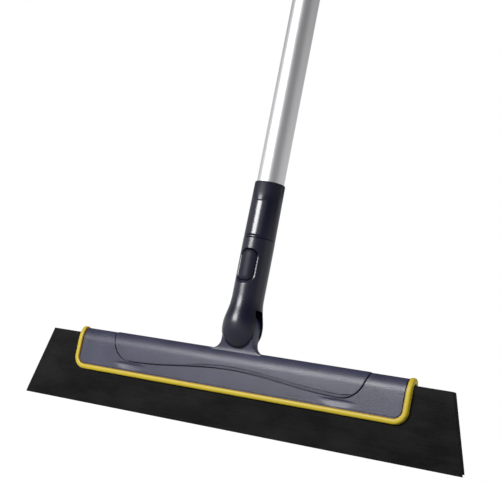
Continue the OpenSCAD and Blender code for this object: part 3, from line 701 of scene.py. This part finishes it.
def wrapRound(bm, radius, taper=None):
    for v in bm.verts:
        turn, z, height = v.co.x / radius, v.co.y, v.co.z
        reach = (taper(z) if taper else radius) + height
        v.co = (reach * math.sin(turn), -reach * math.cos(turn), z)


def sheetLines(radius, steps):
    return [radius * math.pi * (2 * i / steps - 1) for i in range(1, steps)]


def sheetRing(bm, halfTurn, low, high, height, steps=24):
    across = [halfTurn * (2 * i / steps - 1) for i in range(steps + 1)]
    return ring(bm, [(x, low, height) for x in across] + [(x, high, height) for x in across[::-1]])


def makeNeck():
    n = neckSet
    bm = bmesh.new()
    r, blendZ = n["r"], n["hingeZ"] + n["blend"]
    halfTurn = math.pi * r

    def wall(lowZ, highZ, height):
        return sheetRing(bm, halfTurn, lowZ, highZ, height)

    def window(grow, height):
        # the lip is narrower at the sides and wider at the lower end
        w, h = n["windowHalfW"] + n["sideRim"] * grow, n["windowHalfH"] + grow
        drop = n["rimDrop"] * grow / n["rim"]
        return onRound(roundRect(w, h, n["windowR"] + grow, 16), r, height, n["buttonZ"] - drop)

    inside, (edgeOut, edgeDeep) = n["socketR"] - r, n["rimEdge"]
    outer, inner = stack(bm, [window(n["rim"] + n["hold"], 0), window(n["rim"] + edgeOut, 0),
                              window(n["rim"], -edgeDeep), window(0, -n["rimDeep"]), window(0, inside)])
    fill(bm, wall(blendZ, n["seamZ"] - n["bevel"], 0) + outer, plain=True)
    fill(bm, wall(n["floorZ"], n["seamZ"], inside) + inner, plain=True)
    cutLines(bm, (1, 0, 0), sheetLines(r, n["steps"]))
    wrapRound(bm, r)

    bulb = [(x, n["hingeZ"] + z) for x, z in arc(0, 0, n["bulbR"], -90, 0, 30)]
    bulb += [(x, n["hingeZ"] + z) for z, x in n["swell"]]
    bulb[0] = (0, bulb[0][1])
    spinRound(bm, bulb, n["steps"])
    spinRound(bm, [(r, n["seamZ"] - n["bevel"]), (r - n["bevel"], n["seamZ"]), (n["socketR"], n["seamZ"])],
              n["steps"])
    spinRound(bm, [(n["socketR"], n["floorZ"]), (0, n["floorZ"])], n["steps"])
    for v in bm.verts:  # the front cheek thins towards its lower end
        if v.co.y < 0:
            low = min(1, max(0, (n["thinFrom"] - v.co.z) / (n["thinFrom"] - n["thinTo"])))
            v.co.y *= 1 - n["thin"] * low * low * (3 - 2 * low)
    closeUp(bm, gap=0.004)

    slot = bmesh.new()
    low, high = n["hingeZ"] - n["slotLow"], n["hingeZ"] + n["slotTop"]
    bmesh.ops.create_cube(slot, size=1, matrix=Matrix.Translation((0, 0, (low + high) / 2))
                          @ Matrix.Diagonal((n["slotLong"], 2 * n["slotHalf"], high - low, 1)))
    bm = cutAway(bm, slot)
    bm = cutAway(bm, pin((0, n["capY"] + n["capLong"] / 2, n["hingeZ"]), "X", n["capR"], n["capLong"], 48))
    closeUp(bm, gap=0.02)
    addPiece("forkedNeck", bm, "handle", [neckNavy], ["neck_fork"], smooth=32)


makeNeck()

# sleeve: tapered collar with a shallow glossy recess on its front, left bare; the recess is flatter than the
# collar, so it has a step at the top and the bottom only
sleeveSet = {
    "lowZ": 169.0, "topZ": 220.0, "lowR": 14.1, "topR": 13.6, "bevel": 0.5, "boreR": 12.36, "floorZ": 174.0,
    "recessLow": 170.1, "recessHigh": 203.0, "recessR": 18.0, "recessDeep": 0.52, "topStep": 1.0,
    "lowStep": 2.2, "recessHalf": 9.0, "hold": 0.3, "glossFrom": 0.05, "topEdge": (0.15, 0.35),
    "spigotR": 10.9, "spigotBore": 8.7, "spigotLow": 124.0,
    "openHalfW": 8.2, "openHalfH": 14.5, "openR": 6.3, "openZ": 144.2,
    "screwR": 2.24, "screwZ": 215.0, "screwX": 12.4, "screwLong": 10.0, "steps": 192,
}


def recessAt(x, z):
    c = sleeveSet
    bend = [r - math.sqrt(max(0.0, r * r - x * x)) for r in (c["lowR"], c["recessR"])]
    top = min(1, max(0, (c["recessHigh"] - z) / c["topStep"]))
    low = min(1, max(0, (z - c["recessLow"]) / c["lowStep"]))
    return max(0, c["recessDeep"] - bend[0] + bend[1]) * top * top * (3 - 2 * top) * low * low * (3 - 2 * low)


def makeSleeve():
    c = sleeveSet
    bm = bmesh.new()
    r, low, high = c["lowR"], c["lowZ"] + c["bevel"], c["topZ"] - c["bevel"]
    halfTurn = math.pi * r
    fill(bm, sheetRing(bm, halfTurn, low, high, 0), plain=True)
    cutLines(bm, (1, 0, 0), sheetLines(r, c["steps"]))
    heights = [c["recessHigh"] - c["topStep"] * i / 8 for i in range(9)]
    heights += [c["recessLow"] + c["lowStep"] * i / 8 for i in range(9)]
    # lines that keep the steps' shading short
    heights += [max(heights) + c["hold"], c["recessHigh"] - c["topStep"] - c["hold"],
                c["recessLow"] + c["lowStep"] + c["hold"], min(heights) - c["hold"]]
    cutLines(bm, (0, 1, 0), heights, lambda spot: abs(spot.x) < c["recessHalf"])
    for f in bm.faces:
        spot = f.calc_center_median()
        f.material_index = int(recessAt(r * math.sin(spot.x / r), spot.y) > c["glossFrom"])
    for v in bm.verts:
        if abs(v.co.x) < c["recessHalf"]:
            v.co.z -= recessAt(r * math.sin(v.co.x / r), v.co.y)

    def taper(z):
        return c["lowR"] + (c["topR"] - c["lowR"]) * (z - low) / (high - low)

    wrapRound(bm, r, taper)
    spinRound(bm, [(c["spigotBore"], c["floorZ"]), (c["spigotBore"], c["spigotLow"]),
                   (c["spigotR"], c["spigotLow"]), (c["spigotR"], c["lowZ"]),
                   (c["lowR"] - c["bevel"], c["lowZ"]), (c["lowR"], low)], c["steps"])
    edgeIn, edgeUp = c["topEdge"]
    spinRound(bm, [(c["topR"], high), (c["topR"] - edgeIn, high + edgeUp),
                   (c["topR"] - c["bevel"], c["topZ"]), (c["boreR"], c["topZ"]),
                   (c["boreR"], c["floorZ"]), (c["spigotBore"], c["floorZ"])], c["steps"])
    closeUp(bm, gap=0.004)
    screwMiddle = (c["screwX"] + c["screwLong"] / 2, 0, c["screwZ"])
    bm = cutAway(bm, pin(screwMiddle, "Y", c["screwR"], c["screwLong"], 32))
    opening = bmesh.new()
    shape = roundRect(c["openHalfW"], c["openHalfH"], c["openR"], 16)
    for edges in stack(opening, [[(x, y, c["openZ"] + z) for x, z in shape] for y in (-2 * c["spigotR"], 0)]):
        bmesh.ops.contextual_create(opening, geom=edges)
    closeUp(opening)
    bm = cutAway(bm, opening)
    closeUp(bm, gap=0.01)
    addPiece("neckSleeve", bm, "handle", [sleeveSatin, sleeveGloss], ["sleeve"], smooth=32)


makeSleeve()

# release button: long, rounded and gently domed, in the neck's window
buttonSet = {
    "halfW": 7.4, "halfH": 13.7, "cornerR": 5.5, "leastR": 0.5, "r": 14.2, "z": 144.2,
    "cutStep": 0.8, "cuts": 16,
    "dome": [(0, -4.5), (0, -1.5), (-0.12, -1.05), (-0.4, -0.70), (-0.8, -0.42), (-1.3, -0.22), (-2.8, 0.12),
             (-3.6, 0.22), (-5.8, 0.32)],
}


def makeButton():
    b = buttonSet
    bm = bmesh.new()
    outlines = []
    for grow, height in b["dome"]:
        shape = roundRect(b["halfW"] + grow, b["halfH"] + grow, max(b["leastR"], b["cornerR"] + grow), 16)
        outlines.append(onRound(shape, b["r"], height, b["z"]))
    for edges in stack(bm, outlines):
        fill(bm, edges)
    cutLines(bm, (1, 0, 0), [i * b["cutStep"] for i in range(-b["cuts"], b["cuts"] + 1)])
    wrapRound(bm, b["r"])
    closeUp(bm)
    addPiece("pressButton", bm, "button", [buttonNavy], ["release_button"], smooth=32)


makeButton()

# round-wire spring behind the button, drawn at its rest length; the real one shortens as the button goes in
springSet = {
    "r": 3.4, "wire": 0.45, "turns": 6, "frontY": -7.0, "backY": 7.44, "z": 144.2, "sides": 12, "steps": 32,
    "press": 3.6,
}


def makeSpring():
    s = springSet
    bm = bmesh.new()
    length, count = s["backY"] - s["frontY"], s["turns"] * s["steps"]
    section = arc(s["r"], s["frontY"] + s["wire"], s["wire"], 0, 360, s["sides"])[:-1]
    edges = ring(bm, [(x, y, s["z"]) for x, y in section])
    bmesh.ops.spin(bm, geom=bm.verts[:] + edges, cent=(0, 0, s["z"]), axis=(0, 1, 0),
                   angle=2 * math.pi * s["turns"], dvec=(0, (length - 2 * s["wire"]) / count, 0), steps=count)
    bmesh.ops.holes_fill(bm, edges=[e for e in bm.edges if e.is_boundary], sides=0)
    closeUp(bm)
    obj = addPiece("pressSpring", bm, "handle", [screwSteel], ["button_spring"])
    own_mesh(obj)


makeSpring()

# aluminium tubes with small bevels at their ends, so that the joints show as fine lines
poleSet = {
    "r": 12.3, "bore": 11.5, "bevel": 0.3, "steps": 96,
    "tubes": [("poleTubeLower", "pole_lower", 174.0, 472.0), ("poleTubeMiddle", "pole_middle", 474.0, 844.0),
              ("poleTubeUpper", "pole_upper", 846.0, 1242.0)],
}


def makePoles():
    p = poleSet
    for name, node, low, high in p["tubes"]:
        bm = bmesh.new()
        spinRound(bm, [(p["bore"], low), (p["r"] - p["bevel"], low), (p["r"], low + p["bevel"]),
                       (p["r"], high - p["bevel"]), (p["r"] - p["bevel"], high), (p["bore"], high),
                       (p["bore"], low)], p["steps"])
        closeUp(bm)
        addPiece(name, bm, "handle", [poleSilver], [node])


makePoles()

# hand grip with rounded ends, closed at the top
gripSet = {
    "lowZ": 1105.5, "topZ": 1247.5, "r": 14.5, "round": 2.0, "bore": 12.36, "boreTop": 1242.02, "steps": 96,
}


def makeGrip():
    g = gripSet
    bm = bmesh.new()
    middle = g["r"] - g["round"]
    profile = [(0, g["boreTop"]), (g["bore"], g["boreTop"]), (g["bore"], g["lowZ"])]
    profile += arc(middle, g["lowZ"] + g["round"], g["round"], -90, 0, 8)
    profile += arc(middle, g["topZ"] - g["round"], g["round"], 0, 90, 8) + [(0, g["topZ"])]
    spinRound(bm, profile, g["steps"])
    closeUp(bm)
    addPiece("handGrip", bm, "handle", [gripNavy], ["grip"])


makeGrip()

# hanging loop: flat ring with an arched top on a round collar
loopSet = {
    "footZ": 1247.5, "halfW": 15.5, "height": 41.0, "half": 4.5, "eyeHalfW": 8.35, "eyeLow": 7.0,
    "eyeHigh": 32.5, "edge": 1.4, "corner": 1.5, "leastCorner": 0.2, "count": 96,
    "collarR": 14.0, "collarH": 2.5, "collarEdge": (0.8, 0.25), "collarSteps": 72,
}


def evenly(points, count):
    p = np.array(points + points[:1])
    along = np.concatenate([[0], np.cumsum(np.linalg.norm(np.diff(p, axis=0), axis=1))])
    spots = np.linspace(0, along[-1], count, endpoint=False)
    return [(np.interp(s, along, p[:, 0]), np.interp(s, along, p[:, 1])) for s in spots]


def makeLoop():
    loop = loopSet
    bm = bmesh.new()

    def outer(inset):
        w, top = loop["halfW"] - inset, loop["height"] - inset
        corner = max(loop["leastCorner"], loop["corner"] - inset)
        points = [(0, inset)] + arc(w - corner, inset + corner, corner, -90, 0, 4)
        points += arc(0, top - w, w, 0, 180, 32) + arc(corner - w, inset + corner, corner, 180, 270, 4)
        return evenly(points, loop["count"])

    def eye(inset):
        w = loop["eyeHalfW"] + inset
        low, high = loop["eyeLow"] + loop["eyeHalfW"], loop["eyeHigh"] - loop["eyeHalfW"]
        points = arc(0, low, w, -90, 0, 12) + arc(0, high, w, 0, 180, 24) + arc(0, low, w, 180, 270, 12)
        return evenly(points[:-1], loop["count"])

    turns = [math.radians(90 * i / 4) for i in range(5)]
    bend = [(loop["edge"] * (1 - math.cos(t)), loop["half"] - loop["edge"] * (1 - math.sin(t))) for t in turns]
    path = [(outer, inset, -y) for inset, y in bend] + [(eye, inset, -y) for inset, y in bend[::-1]]
    path += [(eye, inset, y) for inset, y in bend] + [(outer, inset, y) for inset, y in bend[::-1]]
    stack(bm, [[(x, y, loop["footZ"] + z) for x, z in shape(inset)] for shape, inset, y in path + path[:1]])
    r, foot, top = loop["collarR"], loop["footZ"], loop["footZ"] + loop["collarH"]
    wide, ease = loop["collarEdge"]
    spinRound(bm, [(0, foot), (r, foot), (r, top - wide), (r - ease, top - ease), (r - wide, top), (0, top)],
              loop["collarSteps"])
    closeUp(bm)
    addPiece("hangingLoop", bm, "handle", [loopYellow], ["hang_loop"])


makeLoop()

# pieces that keep their CAD shape take a finish of their own
keptFinish = {
    "blade_screws": screwSteel, "hinge_bush": naturalNylon, "friction_washers": naturalNylon,
    "hinge_bolt": screwSteel, "hinge_insert": turnedBrass, "spring_washer": screwSteel, "hinge_cap": neckNavy,
    "sleeve_screw": blackSteel, "lower_joint_stud": insertNavy,
    "lower_joint_socket": insertNavy, "upper_joint_stud": insertNavy, "upper_joint_socket": insertNavy,
    "end_plug": insertNavy,
}
for nodeName, finish in keptFinish.items():
    mesh = nodes[nodeName].data
    mesh.materials.clear()
    mesh.materials.append(finish)
print("kept nodes finished:", len(keptFinish))

# pale floor that keeps the object's shadow and reads as white where nothing shades it
floorSet = {
    "radius": 1.6, "colour": (0.50, 0.50, 0.50), "roughness": 0.9, "near": 0.45, "far": 1.3, "glow": 0.77,
    "farGlow": 1.0, "mirrorGlow": 0.25,
}


def makeFloor():
    bm = bmesh.new()
    bmesh.ops.create_circle(bm, cap_ends=True, segments=128, radius=floorSet["radius"])
    mesh = bpy.data.meshes.new("studioFloor")
    bm.to_mesh(mesh)
    bm.free()
    floor = bpy.data.objects.new("studioFloor", mesh)
    scene.collection.objects.link(floor)
    material, tree, shader = newMaterial("studioFloor")
    shader.inputs["Base Color"].default_value = (*floorSet["colour"], 1)
    shader.inputs["Roughness"].default_value = floorSet["roughness"]
    shader.inputs["Specular IOR Level"].default_value = 0.0
    rays = tree.nodes.new("ShaderNodeLightPath")
    mirrored = math2(tree, "MAXIMUM", rays.outputs["Is Glossy Ray"], rays.outputs["Is Transmission Ray"])
    away = addNode(tree, "ShaderNodeVectorMath", {"operation": "LENGTH"},
                   i0=tree.nodes.new("ShaderNodeTexCoord").outputs["Object"])
    level = ranged(tree, away.outputs["Value"], floorSet["near"], floorSet["far"], floorSet["glow"],
                   floorSet["farGlow"])
    glow = math2(tree, "ADD", math2(tree, "MULTIPLY", rays.outputs["Is Camera Ray"], level),
                 math2(tree, "MULTIPLY", mirrored, floorSet["mirrorGlow"]))
    shader.inputs["Emission Color"].default_value = (1, 1, 1, 1)
    tree.links.new(glow, shader.inputs["Emission Strength"])
    mesh.materials.append(material)


makeFloor()

# white surroundings for camera and transmission rays; mirrored ones are dimmer above and towards the
# front right
worldSet = {
    "ambient": 0.36, "mirrorLevel": 0.72, "frontDim": ((0.74, -0.67, 0.0), 0.62, 0.985, 0.42),
    "upperDim": ((0, 0, 1), 0.04, 0.46, 0.18), "ambientUpper": ((0, 0, 1), 0.3, 0.9, 0.35),
}


def dimmed(tree, where, setting):
    direction, start, full, level = setting
    facing = addNode(tree, "ShaderNodeVectorMath", {"operation": "DOT_PRODUCT"}, i0=where,
                     i1=Vector(direction).normalized())
    return ranged(tree, facing.outputs["Value"], start, full, 1.0, level)


def makeWorld():
    world = bpy.data.worlds.new("studio")
    scene.world = world
    world.use_nodes = True
    tree = world.node_tree
    tree.nodes.clear()
    rays = tree.nodes.new("ShaderNodeLightPath")
    where = tree.nodes.new("ShaderNodeTexCoord").outputs["Generated"]
    dim = math2(tree, "MULTIPLY", dimmed(tree, where, worldSet["frontDim"]),
                dimmed(tree, where, worldSet["upperDim"]))
    soft = addNode(tree, "ShaderNodeBackground", Color=(1, 1, 1, 1), Strength=math2(
        tree, "MULTIPLY", dimmed(tree, where, worldSet["ambientUpper"]), worldSet["ambient"]))
    white = addNode(tree, "ShaderNodeBackground", Color=(1, 1, 1, 1), Strength=1.0)
    mirrored = addNode(tree, "ShaderNodeBackground", Color=(1, 1, 1, 1),
                       Strength=math2(tree, "MULTIPLY", dim, worldSet["mirrorLevel"]))
    direct = math2(tree, "MAXIMUM", rays.outputs["Is Camera Ray"], rays.outputs["Is Transmission Ray"])
    first = addNode(tree, "ShaderNodeMixShader", i0=direct, i1=soft.outputs[0], i2=white.outputs[0])
    last = addNode(tree, "ShaderNodeMixShader", i0=rays.outputs["Is Glossy Ray"], i1=first.outputs[0],
                   i2=mirrored.outputs[0])
    out = tree.nodes.new("ShaderNodeOutputWorld")
    tree.links.new(last.outputs[0], out.inputs["Surface"])


makeWorld()

# lamps: a key panel at the front left, and weaker fills at the right and behind that no surface mirrors
lampSet = {
    "keyStrip": {"place": (-0.85, -1.79, 0.66), "aim": (0, 0, 0.3), "size": (0.84, 0.58), "power": 29.5},
    "sideFill": {"place": (2.0, -0.6, 1.0), "aim": (0, 0, 0.2), "size": (1.2, 1.4), "power": 5.0,
                 "mirrored": False},
    "backFill": {"place": (0.3, 2.0, 0.8), "aim": (0, 0, 0.3), "size": (1.4, 1.2), "power": 20.0,
                 "mirrored": False},
}


def makeLamps():
    for name, lamp in lampSet.items():
        data = bpy.data.lights.new(name, "AREA")
        data.shape, data.energy = "RECTANGLE", lamp["power"]
        data.size, data.size_y = lamp["size"]
        obj = bpy.data.objects.new(name, data)
        obj.location = lamp["place"]
        obj.rotation_euler = (Vector(lamp["aim"]) - Vector(lamp["place"])).to_track_quat("-Z", "Y").to_euler()
        obj.visible_glossy = lamp.get("mirrored", True)
        scene.collection.objects.link(obj)


makeLamps()
print("stage and lights set")

scene.view_settings.view_transform = "Standard"
